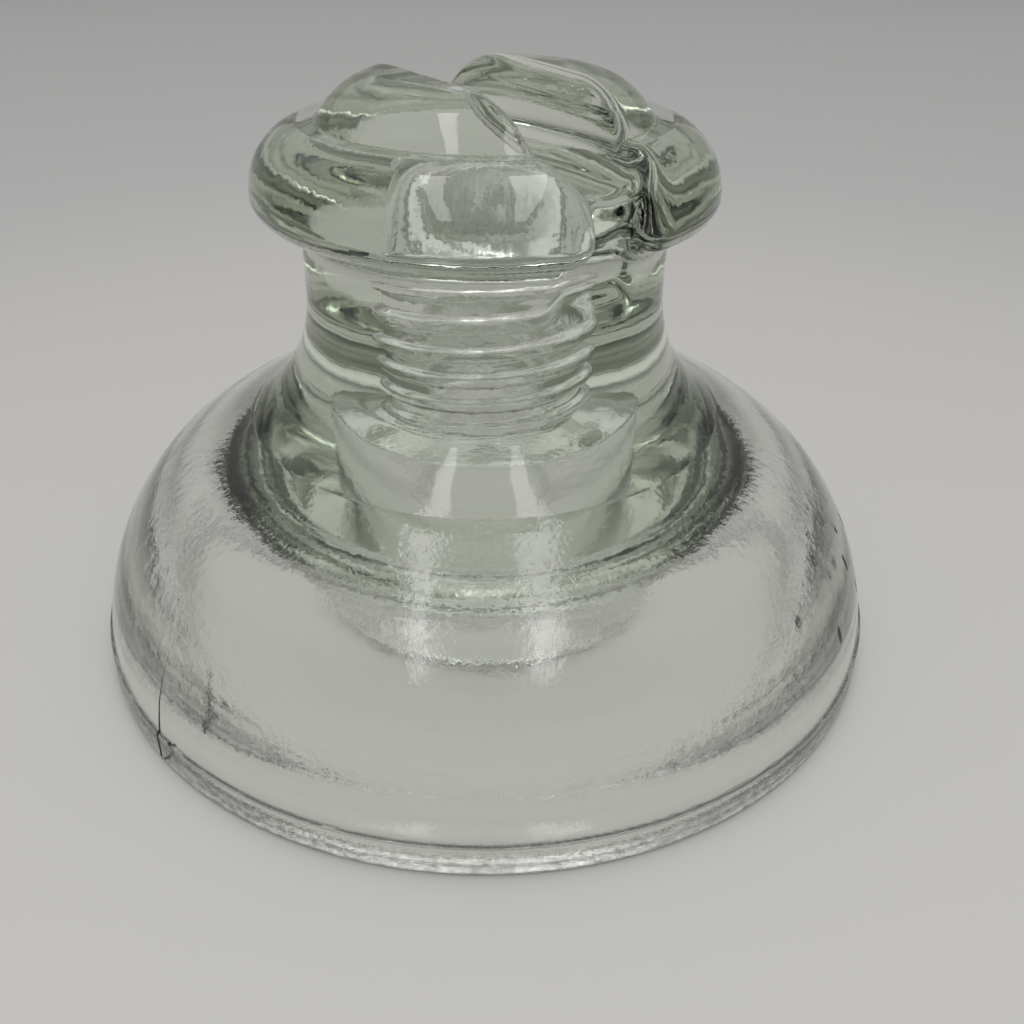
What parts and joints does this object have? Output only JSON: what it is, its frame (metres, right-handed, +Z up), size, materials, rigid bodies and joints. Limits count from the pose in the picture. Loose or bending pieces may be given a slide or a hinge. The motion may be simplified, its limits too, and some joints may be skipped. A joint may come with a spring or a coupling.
{
  "type": "pin insulator",
  "caption": "Clear pressed-glass pin insulator with a bell skirt, inner skirt, side tie groove, eared crown with a saddle groove and a threaded pin hole.",
  "frame": {"origin": "centre of the circle on which the outer rim stands, on the axis of the pin hole", "axes": "+Z up along the pin hole's axis, from the rim to the crown; Y along the saddle groove; X through the two ears"},
  "size_m": [0.17, 0.17, 0.115],
  "materials": {
    "clear_glass": "gloss"
  },
  "bodies": {
    "root": {"glass_insulator": "clear_glass"}
  },
  "joints": []
}
